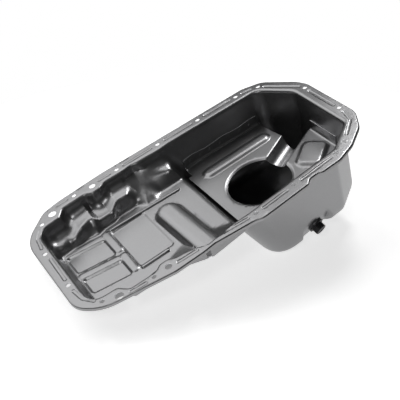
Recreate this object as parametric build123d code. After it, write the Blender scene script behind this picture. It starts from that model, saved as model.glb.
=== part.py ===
from build123d import *
import math
import os

os.makedirs("parts", exist_ok=True)

upward = (Align.CENTER, Align.CENTER, Align.MIN)
downward = (Align.CENTER, Align.CENTER, Align.MAX)
rearward = (Align.MIN, Align.CENTER, Align.CENTER)

# Engine oil pan pressed from sheet steel, in millimetres.
# Origin: centre of the four end bolt holes, on the gasket face. +X runs to the deep sump end,
# -Y is the side with the drain plug, +Z is up, out of the open pan.

# Sheet and flange
sheet = 1.6
end_bolt_half_span = 230.0
end_bolt_half_width = 41.0
bolt_radius = 3.6
dowel_radius = 6.4
stud_radius = 5.2
lip_drop = 5.0
lip_round = 2.0
bend_radius = 5.0

# Depths of the inner skin below the gasket face
shelf_depth = 30.0
tray_depth = 44.0
sump_depth = 127.0

# Drafts of the drawn walls, as run over depth
wall_draft = 0.06
sump_front_draft = 0.42

# Rounds of the inner skin
sump_floor_round = 17.0
tray_floor_round = 7.0
shelf_round = 9.0

# Beads pressed into the flange
bead_width = 6.0
bead_depth = 0.9

# Features pressed into the tray floor
panel_sink = 1.8
panel_corner = 5.0
rib_width = 7.0
rib_height = 2.4
hump_radius = 24.0
hump_height = 12.0
hump_x = -51.0
hump_far_y = 33.0
hump_near_y = -104.0
hump_end_bevel = 8.0

# Corner cut that makes the end of a bar half an octagon, as a share of its width
octagon_share = 1 - math.sqrt(0.5)

# Baffle plate over the sump
baffle_sheet = 1.2
baffle_depth = 55.0
baffle_front_x = 17.0
baffle_wall_gap = 0.2
weld_flange_height = 15.0
intake_radius = 48.5
intake_x = 86.0
intake_y = -17.0
intake_rim = 3.0
trough_radius = 17.0
trough_depth = 13.0
trough_angle = 27.1
trough_y = -22.0
trough_length = 110.0
rib_start_x = 46.0
rib_end_x = 147.0
rib_y = 60.0
plate_rib_width = 9.0
plate_rib_rise = 2.5
pad_x = 173.5
pad_y = -32.5
pad_length = 51.0
pad_width = 39.0
pad_corner = 10.0
pad_turn = -52.0
pad_rise = 3.5

# Drain: an inclined seat low in the near wall, with a weld nut behind it
drain_x = 113.0
drain_rise = 14.0
drain_set_in = 5.75
drain_turn = 8.0
drain_dip = 28.0
drain_seat_radius = 26.0
thread_radius = 6.6
thread_clearance = 0.05
hole_clearance = 0.4
nut_width = 22.0
nut_height = 11.0
washer_radius = 11.6
washer_height = 2.0
plug_flange_radius = 12.2
plug_flange_height = 2.5
plug_hex_width = 17.0
plug_hex_height = 8.5
plug_tip = 1.4
plug_chamfer = 0.8

# Outlines as (x, y, corner radius), counterclockwise from the front near corner

flange_outline = [
    (-242, -87, 24), (-204, -126, 22), (-166, -127, 40), (-112, -133, 30),
    (-68, -132.5, 30), (-50, -130.5, 12), (10, -137, 30), (22, -142, 14),
    (100, -137, 6), (107, -130, 5), (120, -129.5, 5), (127, -133, 5),
    (158, -132, 24), (188, -121, 30), (220, -97, 24), (239, -62, 26),
    (239, 42, 26), (232, 62, 20), (198, 113, 26), (166, 125, 26),
    (-93, 134, 80), (-170, 131, 40), (-197, 126, 24), (-242, 74, 28),
]

tray_top_outline = [
    (-220, -93, 20), (-182, -95, 8), (-170, -110, 9), (-132, -110.5, 10), (-122, -103, 9),
    (-109, -103, 9), (-98, -110, 10), (-50, -111, 40), (70, -110, 8),
    (70, 101.5, 8), (-2, 105.2, 40), (-28, 107.3, 40), (-50, 108.6, 40), (-98, 110, 10),
    (-109, 103, 9), (-122, 103, 9), (-132, 110.5, 10), (-170, 110, 9), (-182, 95, 8), (-220, 93, 20),
]

tray_ridge_outline = [
    (-216, -72, 14), (-183, -75, 14), (-164, -90, 12), (-146, -94, 10), (-133, -79, 12),
    (-115, -77, 14), (-89, -98, 16), (-54, -106, 24), (32, -106.5, 8),
    (32, 88, 8), (-2, 88, 20), (-24, 98, 20), (-54, 106, 20), (-89, 97, 16),
    (-115, 77, 14), (-133, 79, 12), (-146, 94, 10), (-164, 90, 12), (-183, 75, 14), (-216, 72, 14),
]

tray_foot_outline = [
    (-211, -63, 14), (-183, -67, 16), (-164, -70.5, 16), (-146, -71.5, 16), (-133, -71, 12),
    (-115, -71.5, 14), (-89, -60, 16), (-54, -46, 24), (32, -84, 8),
    (32, 76, 8), (-2, 77, 20), (-24, 82, 20), (-54, 88, 20), (-89, 79, 16),
    (-115, 71.5, 14), (-133, 71, 12), (-146, 71.5, 16), (-164, 70.5, 16), (-183, 67, 16), (-211, 63, 14),
]

sump_outline = [
    (-12, -117.7, 46), (167, -106, 32), (213, -73, 32),
    (214, 49, 32), (180, 101, 32), (-12, 107, 34),
]
sump_drafts = [wall_draft] * 5 + [sump_front_draft]

# Leans of the skin at the levels of the bend under the flange and of the round into the sump floor.
# A lean is the angle of the skin's outward direction below level.
bend_leans = (90, 45, 4)
sump_round_leans = (4, 32, 60, 90)
# Depth of one more level, part of the way down the tall sump walls
sump_wall_split = sump_depth / 2

# Levels of the tray's skin as (share of the way from one outline to the next, height over the shelf or
# the floor as a share of its round, lean, inset as a share of the floor round)
shelf_levels = [
    (0.0, 1.0, 5, 0), (0.1, 0.3, 45, 0), (0.45, 0.02, 84, 0), (0.85, 0.0, 78, 0), (1.0, -0.27, 44, 0),
]
foot_levels = [(0.4, 1.06, 46, 0.02), (0.8, 0.45, 48, 0.04), (1.0, 0.05, 78, 0.14), (1.0, 0.0, 90, 0.6)]

# Weld flanges of the baffle, as the ranges in x and y of the wall that each one lies against
weld_flanges = [(25, 163, 60, 120), (190, 230, -45, 17), (35, 160, -120, -60)]

# Openings of the baffle plate: the cut-away rear corner and the notch beside the tray
corner_opening = [(165, 130), (165, 84), (170, 40), (168, 1), (190, 17), (240, 17), (240, 130)]
notch = (10, 24, 77, 120)

# Bolt, dowel and stud holes of the flange as (x, y)
end_bolts = [
    (side * end_bolt_half_span, across * end_bolt_half_width) for side in (-1, 1) for across in (-1, 1)
]
corner_bolts = [(-208.3, 103), (-208.3, -103), (187, 107), (187, -107)]
far_bolts = [(-145, 122), (-70.4, 120.7), (3.5, 119.5), (77.4, 117.8), (149, 115.8)]
near_bolts = [(-138, -119), (-59.5, -121), (19.2, -127.4), (85.4, -121.4), (162.7, -116.5)]
bolt_holes = end_bolts + corner_bolts + far_bolts + near_bolts
dowels = [(-187, 112), (-187, -112)]
studs = [(-115, 118), (-115, -118)]

straight_beads = [
    ((-228, 26), (-229, -28)), ((-172, 122.5), (-158, 122.5)), ((-101, 121), (-84, 120.5)),
    ((-57, 120), (-10, 119)), ((17, 119), (64, 118)), ((91, 117.5), (137, 116)), ((161, 114), (174, 111)),
    ((193, 98), (226, 51)), ((228.5, 28), (228.5, -30)), ((100, -122), (151, -119)),
    ((32, -126.5), (72, -124)), ((-47, -121), (6, -126.5)), ((-101, -121), (-73, -122.5)),
    ((-172, -118), (-151, -120)),
]
curved_beads = [
    ((-229, -56), (-226, -78), (-216, -94)), ((-229, 56), (-226, 78), (-216, 94)),
    ((228, -54), (222, -76), (198, -97)),
]

panels = [(-203, -147, 17, 55), (-200, -148, -36, -3), (-130, -76, -38, 53)]
ribs = [
    ((-140, 57), (-140, 16)), ((-140, 0), (-140, -40)), ((-128, 60), (-14, 56)), ((-202, 60), (-150, 60)),
    ((-202, 7), (-150, 7)), ((-128, -43), (-90, -44)),
]


def blended(first, second, share):
    """Outline part of the way from one outline to another with the same number of corners."""
    return [tuple(a + (b - a) * share for a, b in zip(p, q)) for p, q in zip(first, second)]


def moved(outline, moves):
    """Outline after each side moves outward by its own amount."""
    count = len(outline)
    sides = []
    for index in range(count):
        x1, y1 = outline[index][:2]
        x2, y2 = outline[(index + 1) % count][:2]
        length = math.hypot(x2 - x1, y2 - y1)
        nx = (y2 - y1) / length
        ny = (x1 - x2) / length
        sides.append((nx, ny, nx * x1 + ny * y1 + moves[index]))
    corners = []
    for index in range(count):
        a = sides[index - 1]
        b = sides[index]
        det = a[0] * b[1] - a[1] * b[0]
        x = (a[2] * b[1] - a[1] * b[2]) / det
        y = (a[0] * b[2] - a[2] * b[0]) / det
        growth = min(moves[index - 1], moves[index], key=abs)
        radius = outline[index][2] + math.copysign(growth, growth * det)
        corners.append((x, y, radius))
    return corners


def rounded_wire(outline, z):
    """Closed wire of straight sides with an arc at each corner."""
    count = len(outline)
    arcs = []
    for index in range(count):
        here = Vector(outline[index][0], outline[index][1], z)
        before = Vector(outline[index - 1][0], outline[index - 1][1], z)
        after = Vector(outline[(index + 1) % count][0], outline[(index + 1) % count][1], z)
        radius = outline[index][2]
        back = (before - here).normalized()
        ahead = (after - here).normalized()
        half = math.radians(back.get_angle(ahead)) / 2
        run = radius / math.tan(half)
        middle = (back + ahead).normalized() * (radius / math.sin(half) - radius)
        arcs.append((here + back * run, here + middle, here + ahead * run))
    edges = []
    for index in range(count):
        edges.append(ThreePointArc(*arcs[index]))
        edges.append(Line(arcs[index][2], arcs[(index + 1) % count][0]))
    return Wire(edges)


def skin_wire(outline, drafts, z, lean, side_shift, skin):
    """Wire of one level of a drawn form, on the inner skin or one sheet outside it."""
    out = side_shift + skin * math.cos(math.radians(lean))
    level = z - skin * math.sin(math.radians(lean))
    moves = [out + draft * min(z, 0) for draft in drafts]
    return rounded_wire(moved(outline, moves), level)


def top_bend(outline, drafts, skin):
    """Levels of the bend from the flange down into a wall."""
    wires = []
    for lean in bend_leans:
        angle = math.radians(lean)
        shift = bend_radius * (1 - math.cos(angle))
        z = bend_radius * (math.sin(angle) - 1)
        wires.append(skin_wire(outline, drafts, z, lean, shift, skin))
    return wires


def tray_form(skin):
    """The shallow front tray: scalloped upper wall, shelf, ridge and lower wall."""
    count = len(tray_top_outline)
    wires = top_bend(tray_top_outline, [wall_draft] * count, skin)
    shelf_wall = moved(tray_top_outline, [-wall_draft * shelf_depth] * count)
    steps = [
        (shelf_levels, shelf_wall, tray_ridge_outline, shelf_depth, shelf_round),
        (foot_levels, tray_ridge_outline, tray_foot_outline, tray_depth, tray_floor_round),
    ]
    for levels, upper, lower, depth, radius in steps:
        for share, rise, lean, inset in levels:
            outline = blended(upper, lower, share)
            wires.append(skin_wire(outline, [0] * count, rise * radius - depth, lean, -inset * radius, skin))
    return Solid.make_loft(wires, ruled=True)


def sump_form(skin):
    """The deep rear sump, with its sloping front wall."""
    wires = top_bend(sump_outline, sump_drafts, skin)
    wires.append(skin_wire(sump_outline, sump_drafts, -sump_wall_split, bend_leans[-1], 0, skin))
    for lean in sump_round_leans:
        angle = math.radians(lean)
        shift = sump_floor_round * (math.cos(angle) - 1)
        z = sump_floor_round * (1 - math.sin(angle)) - sump_depth
        wires.append(skin_wire(sump_outline, sump_drafts, z, lean, shift, skin))
    return Solid.make_loft(wires, ruled=True)


def prism(outline, top, bottom):
    """Straight block inside an outline."""
    return Solid.make_loft([rounded_wire(outline, bottom), rounded_wire(outline, top)], ruled=True)


def spread(outline, distance):
    """Outline moved outward all round."""
    return moved(outline, [distance] * len(outline))


def lip_form(radius):
    """Block under the flange's top face, with a rounded upper edge."""
    wires = []
    for lean in (90, 45, 0):
        angle = math.radians(lean)
        inset = radius * (math.cos(angle) - 1)
        wires.append(rounded_wire(spread(flange_outline, inset), radius * (math.sin(angle) - 1)))
    wires.append(rounded_wire(flange_outline, -lip_drop))
    return Solid.make_loft(wires, ruled=True)


def post(x, y, radius, top, bottom):
    """Upright cylinder between two heights."""
    return Pos(x, y, bottom) * Cylinder(radius, top - bottom, align=upward)


def bar(start, end, width, top, bottom):
    """Upright bar from one point to another, with its ends cut to half an octagon."""
    dx = end[0] - start[0]
    dy = end[1] - start[1]
    place = Pos((start[0] + end[0]) / 2, (start[1] + end[1]) / 2, bottom)
    turn = Rot(0, 0, math.degrees(math.atan2(dy, dx)))
    shape = Rectangle(math.hypot(dx, dy) + width, width)
    shape = chamfer(shape.vertices(), width * octagon_share)
    return place * turn * extrude(shape, top - bottom)


def curved_bar(points, width, top, bottom):
    """Upright bar that follows an arc through three points."""
    shape = SlotArc(ThreePointArc(*points), width)
    return Pos(0, 0, bottom) * extrude(shape, top - bottom)


def plate_block(x1, x2, y1, y2, corner, top, bottom):
    """Upright block with rounded corners."""
    shape = RectangleRounded(x2 - x1, y2 - y1, corner)
    return Pos((x1 + x2) / 2, (y1 + y2) / 2, bottom) * extrude(shape, top - bottom)


def press_floor(form, skin):
    """Press the panels, ribs and hump of the tray floor into one skin of the drawn form."""
    floor = -tray_depth - skin
    sunk = []
    for x1, x2, y1, y2 in panels:
        sides = (x1 - skin, x2 + skin, y1 - skin, y2 + skin)
        sunk.append(plate_block(*sides, panel_corner + skin, floor + sheet, floor - panel_sink))
    raised = []
    for start, end in ribs:
        raised.append(bar(start, end, rib_width - 2 * skin, floor + rib_height, floor - sheet - panel_sink))
    hump = Cylinder(hump_radius - skin, hump_far_y - hump_near_y - skin, align=upward)
    hump = chamfer(hump.edges().sort_by(Axis.Z)[-1], hump_end_bevel - skin)
    hump_centre = hump_height - hump_radius - tray_depth
    raised.append(Pos(hump_x, hump_near_y, hump_centre) * Rot(-90, 0, 0) * hump)
    return form + sunk - raised


def drain_place():
    """Plane of the drain seat, on the outer skin, facing out along the plug."""
    dip = math.radians(drain_dip)
    turn = math.radians(drain_turn)
    outward = (math.sin(turn) * math.cos(dip), -math.cos(turn) * math.cos(dip), -math.sin(dip))
    depth = sump_depth - drain_rise
    x1, y1 = sump_outline[0][:2]
    x2, y2 = sump_outline[1][:2]
    wall_y = y1 + (y2 - y1) * (drain_x - x1) / (x2 - x1) + wall_draft * depth
    origin = (drain_x, wall_y + drain_set_in, -depth)
    return Plane(origin=origin, x_dir=(math.cos(turn), math.sin(turn), 0), z_dir=outward)


def press_drain(form, skin):
    """Push one skin in to a flat round seat for the drain plug."""
    back = sheet - skin
    seat = Cylinder(drain_seat_radius + back, sump_depth, align=upward)
    return form - drain_place() * Pos(0, 0, -back) * seat


def drawn_form(skin):
    """The whole drawn form, on the inner skin or one sheet outside it."""
    form = tray_form(skin) + sump_form(skin)
    form = press_floor(form, skin)
    return press_drain(form, skin)


def make_pan_shell():
    """The pan as one pressing: flange with its lip and beads, tray and sump."""
    plate = lip_form(lip_round) - prism(spread(flange_outline, -sheet), -sheet, -lip_drop)
    ridges = []
    cuts = []
    for start, end in straight_beads:
        ridges.append(bar(start, end, bead_width + sheet, -sheet, -sheet - bead_depth))
        cuts.append(bar(start, end, bead_width, sheet, -bead_depth))
    for points in curved_beads:
        ridges.append(curved_bar(points, bead_width + sheet, -sheet, -sheet - bead_depth))
        cuts.append(curved_bar(points, bead_width, sheet, -bead_depth))
    for holes, radius in ((bolt_holes, bolt_radius), (dowels, dowel_radius), (studs, stud_radius)):
        cuts += [post(x, y, radius, sheet, -lip_drop) for x, y in holes]
    cuts.append(drain_place() * Pos(0, 0, -2 * sheet) * Cylinder(thread_radius + hole_clearance, 4 * sheet))
    return (plate + ridges + drawn_form(sheet)) - drawn_form(0) - cuts


def sump_space(gap, top, bottom):
    """Space inside the sump walls between two heights, a gap clear of them."""
    wires = []
    for z in (bottom, top):
        wires.append(rounded_wire(moved(sump_outline, [draft * z - gap for draft in sump_drafts]), z))
    return Solid.make_loft(wires, ruled=True)


def make_baffle():
    """Plate welded across the sump, with weld flanges, a round intake opening, a trough, a rib and a pad."""
    top = -baffle_depth
    bottom = top - baffle_sheet
    rim = top + weld_flange_height
    gap = baffle_wall_gap
    behind = Pos(baffle_front_x, 0, top) * Box(sump_depth * 2, sump_depth * 2, sump_depth, align=rearward)
    plate = sump_space(gap, top, bottom) & behind
    wall = sump_space(gap, rim, bottom) - sump_space(gap + baffle_sheet, rim, bottom)
    plate += [wall & plate_block(*sides, baffle_sheet, rim, bottom) for sides in weld_flanges]

    trough_line = Pos(intake_x, trough_y, top + trough_radius - trough_depth) * Rot(0, 0, trough_angle)
    trough = trough_line * Rot(0, 90, 0) * Cylinder(trough_radius + baffle_sheet, trough_length, align=upward)
    channel = trough_line * Rot(0, 90, 0) * Cylinder(trough_radius, trough_length, align=upward)
    below = Pos(0, 0, bottom) * Box(sump_depth * 4, sump_depth * 4, sump_depth, align=downward)
    rib_ends = ((rib_start_x, rib_y), (rib_end_x, rib_y))
    pad_place = Pos(pad_x, pad_y, bottom) * Rot(0, 0, pad_turn)
    inset = 2 * baffle_sheet
    plate += [
        trough & below,
        bar(*rib_ends, plate_rib_width, top + plate_rib_rise, bottom),
        pad_place * extrude(RectangleRounded(pad_width, pad_length, pad_corner), baffle_sheet + pad_rise),
        post(intake_x, intake_y, intake_radius + baffle_sheet, top, bottom - intake_rim),
    ]
    pad_hollow = RectangleRounded(pad_width - inset, pad_length - inset, pad_corner - baffle_sheet)
    opening = make_face(Polyline(*corner_opening, close=True))
    return plate - [
        channel,
        bar(*rib_ends, plate_rib_width - inset, bottom + plate_rib_rise, bottom),
        pad_place * extrude(pad_hollow, pad_rise),
        post(intake_x, intake_y, intake_radius, rim, -sump_depth),
        Pos(0, 0, -sump_depth) * extrude(opening, sump_depth),
        plate_block(*notch, baffle_sheet, rim, bottom),
    ]


def make_nut():
    """Weld nut on the inner face of the drain seat."""
    body = extrude(RegularPolygon(nut_width / 2, 6, major_radius=False), nut_height)
    body -= Cylinder(thread_radius + thread_clearance, 4 * nut_height)
    return drain_place() * Pos(0, 0, -sheet - nut_height) * body


def make_washer():
    """Sealing washer under the drain plug."""
    ring = Cylinder(washer_radius, washer_height, align=upward)
    ring -= Cylinder(thread_radius + hole_clearance, 4 * washer_height)
    return drain_place() * ring


def make_plug():
    """Drain plug: hexagon head on a round flange, with a plain shank where the thread is cut."""
    head = Pos(0, 0, washer_height) * Cylinder(plug_flange_radius, plug_flange_height, align=upward)
    hexagon = extrude(RegularPolygon(plug_hex_width / 2, 6, major_radius=False), plug_hex_height)
    hexagon = chamfer(hexagon.edges().group_by(Axis.Z)[-1], plug_chamfer)
    head += Pos(0, 0, washer_height + plug_flange_height) * hexagon
    reach = washer_height + sheet + nut_height + plug_tip
    shank = Cylinder(thread_radius, reach, align=downward)
    shank = chamfer(shank.edges().sort_by(Axis.Z)[0], plug_chamfer)
    return drain_place() * (head + Pos(0, 0, washer_height) * shank)


pieces = {
    "pan_shell": make_pan_shell,
    "sump_baffle": make_baffle,
    "drain_nut": make_nut,
    "drain_washer": make_washer,
    "drain_plug": make_plug,
}

for name, make in pieces.items():
    export_step(make(), f"parts/{name}.step")
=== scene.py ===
import math

import bmesh
import bpy
import numpy as np
from bpy.props import FloatProperty, FloatVectorProperty
from mathutils import Matrix, Vector


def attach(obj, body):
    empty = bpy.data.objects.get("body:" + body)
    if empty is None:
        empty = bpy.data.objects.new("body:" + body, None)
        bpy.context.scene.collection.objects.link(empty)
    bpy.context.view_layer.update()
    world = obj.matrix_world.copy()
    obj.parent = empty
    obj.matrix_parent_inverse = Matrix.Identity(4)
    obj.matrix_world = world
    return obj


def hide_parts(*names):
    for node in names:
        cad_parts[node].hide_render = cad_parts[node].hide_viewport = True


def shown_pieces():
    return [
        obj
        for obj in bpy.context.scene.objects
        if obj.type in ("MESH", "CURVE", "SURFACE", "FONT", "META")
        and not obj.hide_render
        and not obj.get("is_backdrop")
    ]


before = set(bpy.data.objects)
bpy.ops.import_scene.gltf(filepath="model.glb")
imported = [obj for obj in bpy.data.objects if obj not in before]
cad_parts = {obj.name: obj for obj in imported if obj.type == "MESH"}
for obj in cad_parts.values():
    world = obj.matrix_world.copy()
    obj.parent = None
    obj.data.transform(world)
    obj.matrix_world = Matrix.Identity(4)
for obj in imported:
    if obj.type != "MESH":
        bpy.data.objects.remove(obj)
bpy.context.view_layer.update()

bl_info = {
    "name": "Engine oil pan",
    "version": (1, 0, 0),
    "blender": (4, 5, 0),
    "location": "3D View > Sidebar > Oil pan",
    "description": "Builds the pressed pan, its baffle, the drain parts and a plain studio",
    "category": "Mesh",
}

MM = 0.001

# Outlines of the pan in millimetres as (x, y, corner radius), on the gasket face unless named otherwise.
# The origin is the centre of the four end bolt holes, +X runs to the sump and the drain is on the -Y side.

FLANGE = [
    (-242, -86, 40), (-213, -115, 60), (-170, -122.5, 40), (-112, -133, 30),
    (-68, -132.5, 30), (-50, -130.5, 12), (10, -137, 30), (22, -142, 14),
    (100, -137, 6), (107, -130, 5), (120, -129.5, 5), (127, -133, 5),
    (158, -132, 24), (188, -121, 40), (221, -97.5, 34), (239, -67, 36),
    (239, 46, 30), (232.5, 65, 26), (198, 113, 30), (166, 125, 26),
    (-93, 134, 80), (-170, 131, 40), (-197, 126, 24), (-242, 87, 58),
]

# The scalloped front half of the tray's upper edge is the same on both sides
SCALLOPS = [
    (-220, 93, 20), (-182, 95, 8), (-170, 110, 9), (-132, 110.5, 10),
    (-122, 103, 9), (-109, 103, 9), (-98, 110, 10),
]
TRAY_TOP = [(x, -y, radius) for x, y, radius in SCALLOPS] + [
    (-50, -111, 40), (70, -110, 8), (70, 101.5, 8), (-2, 105.2, 40), (-28, 107.3, 40), (-50, 108.6, 40),
] + SCALLOPS[::-1]

TRAY_RIDGE = [
    (-216, -72, 14), (-183, -75, 14), (-164, -90, 12), (-146, -94, 10), (-133, -79, 12),
    (-115, -77, 14), (-89, -98, 16), (-54, -106, 24), (32, -106.5, 8),
    (32, 82, 8), (-6, 82, 14), (-28, 91, 14), (-52, 101, 10), (-68, 97, 8), (-80, 83, 6), (-96, 84, 7),
    (-112, 76, 8), (-132, 76, 7), (-147, 84, 6), (-168, 77, 8), (-180, 71, 8), (-188, 76, 6), (-201, 72, 6),
    (-216, 74, 8),
]

TRAY_FOOT = [
    (-211, -63, 14), (-183, -67, 16), (-164, -70.5, 16), (-146, -71.5, 16), (-133, -71, 12),
    (-115, -71.5, 14), (-89, -60, 16), (-54, -46, 24), (32, -84, 8),
    (32, 74, 8), (-4, 72, 14), (-34, 72, 10), (-46, 62, 6), (-62, 62, 6), (-74, 76, 7), (-104, 77, 8),
    (-116, 71, 8), (-134, 71, 8), (-146, 66, 9), (-164, 70, 10), (-183, 67, 10), (-211, 66, 10),
]

# Share by which the slope from the tray's ridge to its foot runs on beyond both
OVERRUN = 0.3

# Rise of the far shelf over the near one as (x, rise)
FAR_RISE = [(-200, 0), (-180, 0), (-162, 6), (-142, 8), (-134, 1), (-116, 1), (-100, 8), (-40, 9), (-10, 6)]

# Sides of the sump as (x, y, corner radius) where each side starts; SUMP_CORNER scales the radii.
# All walls have the same draft but the last side, the slope down from the tray.
SUMP = [(-12, -117.7, 46), (167, -106, 14), (213, -73, 18), (214, 49, 32), (180, 101, 32), (-12, 107, 34)]
SUMP_CORNER = 0.8
WALL_DRAFT = 0.06
FRONT_DRAFT = 0.42
SUMP_DRAFTS = [WALL_DRAFT] * 5 + [FRONT_DRAFT]

# Holes of the flange as (x, y), by the size that holds their radius
HOLES = {
    "bolt_radius": [
        (-230, -41), (-230, 41), (230, -41), (230, 41),
        (-208.3, 103), (-208.3, -103), (187, 107), (187, -107),
        (-145, 122), (-70.4, 120.7), (3.5, 119.5), (77.4, 117.8), (149, 115.8),
        (-138, -119), (-59.5, -121), (19.2, -127.4), (85.4, -121.4), (162.7, -116.5),
    ],
    "dowel_radius": [(-187, 112), (-187, -112)],
    "stud_radius": [(-115, 118), (-115, -118)],
}

# Sunk beads of the flange, each a line through two or three points
BEADS = [
    [(-228, 26), (-229, -28)], [(-172, 122.5), (-158, 122.5)], [(-101, 121), (-84, 120.5)],
    [(-57, 120), (-10, 119)], [(17, 119), (64, 118)], [(91, 117.5), (137, 116)],
    [(161, 114), (174, 111)], [(193, 98), (226, 51)], [(228.5, 28), (228.5, -30)],
    [(100, -122), (151, -119)], [(32, -126.5), (72, -124)], [(-47, -121), (6, -126.5)],
    [(-101, -121), (-73, -122.5)], [(-172, -118), (-151, -120)],
    [(-229, -56), (-226, -78), (-216, -94)], [(-229, 56), (-226, 78), (-216, 94)],
    [(228, -54), (222, -76), (198, -97)],
]

# Sunk panels of the tray floor as (low x, high x, low y, high y), and raised bands and ribs round them.
# In front of PANEL_SKEW_X the panels run askew by PANEL_SKEW, and PANEL_EDGE is the width of their soft edge.
PANELS = [(-206, -147, 9, 48), (-206, -147, -43, -10), (-133, -76, -40, 54)]
BANDS = [
    [(-204, 64), (-150, 55)], [(-204, 7), (-150, -3)], [(-140, 57), (-140, 14)], [(-140, -4), (-141, -38)],
]
RIBS = [[(-130, 60), (-14, 54)], [(-130, -45), (-90, -45)]]
PANEL_SKEW = 0.17
PANEL_SKEW_X = -147
PANEL_CORNER = 5.0
PANEL_EDGE = 5.0

# Raised hump across the tray as a line, and how much its sides lean
HUMP = [(-50.0, 17.0), (-44.0, -110.0)]
HUMP_LEAN = 0.3

# Weld flanges of the baffle as (low x, high x, low y, high y), and its cut-away rear corner. Beside a flange
# the plate slopes off over WELD_RAMP. Its top has a slight wave, by a radian in each WELD_WAVE_RUN.
WELD_FLANGES = [(25, 163, 60, 120), (190, 230, -45, 17), (35, 160, -120, -60)]
CORNER_OPENING = [(165, 130), (165, 84), (170, 40), (168, 1), (190, 17), (240, 17), (240, 130)]
WELD_CORNER = 1.0
WELD_RAMP = 9
WELD_WAVE = 1.1
WELD_WAVE_RUN = 9.0

# Other places of the baffle: intake, trough, front edge, rib, pad and notch, which is given as the flanges
# are, and the insets, corners and widths of their soft edges
INTAKE = (86.0, -17.0)
INTAKE_INSET = 1.0
INTAKE_EDGE = 8.0
TROUGH_TURN = math.radians(27.1)
TROUGH_Y = -22.0
TROUGH_EDGE = 2.0
PLATE_FRONT = 17.0
PLATE_BEND = 3.5
PLATE_RIB = [(46.0, 60.0), (147.0, 60.0)]
PAD = (173.5, -32.5)
PAD_SIZE = (39.0, 51.0)
PAD_CORNER = 10.0
PAD_TURN = math.radians(-52)
PAD_EDGE = 9.0
NOTCH = (10, 24, 77, 120)
NOTCH_CORNER = 1.2

# Weld marks as (start, end, count), each row a line on a weld flange at a share of its height
WELD_ROWS = [((38, 98), (150, 94), 7), ((203, -34), (203, 6), 3), ((48, -106), (148, -100), 6)]
WELD_SHARE = 0.55
WELD_MARK_RADIUS = 2.7
WELD_MARK_TOP = 0.72
WELD_MARK_HEIGHT = 0.35

# Drain seat: a point on the pan's outer skin, and the way out along the plug
DRAIN_SEAT = np.array([113.0, -97.0, -113.0])
DRAIN_TURN = math.radians(8)
DRAIN_DIP = math.radians(28)
DRAIN_OUT = np.array([
    math.sin(DRAIN_TURN) * math.cos(DRAIN_DIP), -math.cos(DRAIN_TURN) * math.cos(DRAIN_DIP),
    -math.sin(DRAIN_DIP),
])
SEAT_RADIUS = 26.0
DRAIN_HOLE_RADIUS = 7.0
DRAIN_HOLE_REACH = 10

# Plug: height of the thread's ridge, how far the thread and the tip stand out of the nut, the hexagon's
# clipped corners and chamfer as shares of its own size, and the turns of the points in each ring
THREAD_RIDGE = 0.92
THREAD_STAND = 0.6
TIP_STAND = 1.4
CORNER_CLIP = 0.975
FACE_SHARE = 0.96
CHAMFER_FALL = 0.58
RING_STEPS = 72
RING_TURNS = [2 * math.pi * step / RING_STEPS for step in range(RING_STEPS)]

# Corners and edges of a grid cell
CORNERS = np.array([(i, j, k) for i in (0, 1) for j in (0, 1) for k in (0, 1)])
CELL_EDGES = [(a, b) for a in range(8) for b in range(a + 1, 8) if abs(CORNERS[a] - CORNERS[b]).sum() == 1]

# Radius of the small rounds, grid of each pressing as (low, high, cell), and longest edges of their meshes
SMALL_ROUND = 3.0
PAN_GRID = ((-247, -147, -133), (246, 142, 4), 5.0)
BAFFLE_GRID = ((8, -124, -74), (222, 114, -34), 4.0)
PLAIN_MESH = 7.0
LIP_MESH = 2.2
BEAD_MESH = 1.7
HOLE_MESH = 1.3
DETAIL_MESH = 1.8
PAD_MESH = 2.0

# How near a detail its mesh is fine, width of the lip, and the heights of the fine flange and floor
CUT_REACH = 2.5
LIP_WIDTH = 4
BEAD_REACH = 5
PANEL_REACH = 3
RIB_REACH = 7
PAD_REACH = 4
FINE_ABOVE = -6
FINE_BELOW = -38

# Studio, in metres: floor radius, light that the floor adds for the camera and in mirrors, light of the
# world, and soft lamps as (place, width, power in watts), all turned to the pan
FLOOR_RADIUS = 0.62
FLOOR_LIFT = 0.66
FLOOR_MIRRORED = 0.56
WORLD_LIGHT = 0.03
LAMPS = [
    ((-0.2, 0.85, 1.25), 1.7, 13.5),
    ((0.9, 0.5, 1.0), 0.4, 7.0),
    ((-0.6, -0.9, 1.3), 0.3, 3.0),
]
LAMP_TARGET = (0, 0, -0.05)

# The pan rests on its tray, in front of one x, and on its sump, behind another, in metres
REST_TRAY_X = -0.12
REST_SUMP_X = 0.0
STEEPEST_REST = math.radians(40)

# Camera of the photograph: its place in metres, the way it looks and its right-hand side
CAMERA_PLACE = (-0.28832, -0.87847, 0.72123)
CAMERA_AHEAD = (0.2374442, 0.7350608, -0.6350637)
CAMERA_RIGHT = (0.8116619, -0.5093060, -0.2860288)
CAMERA_LENS = 74.63
CAMERA_SENSOR = 36.0


def size(name, description, default):
    """A size in millimetres that a user would change."""
    return FloatProperty(name=name, description=description, default=default)


def colour_property(name, description, default):
    """A colour that a user would change."""
    return FloatVectorProperty(name=name, description=description, subtype="COLOR", default=default)


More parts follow.
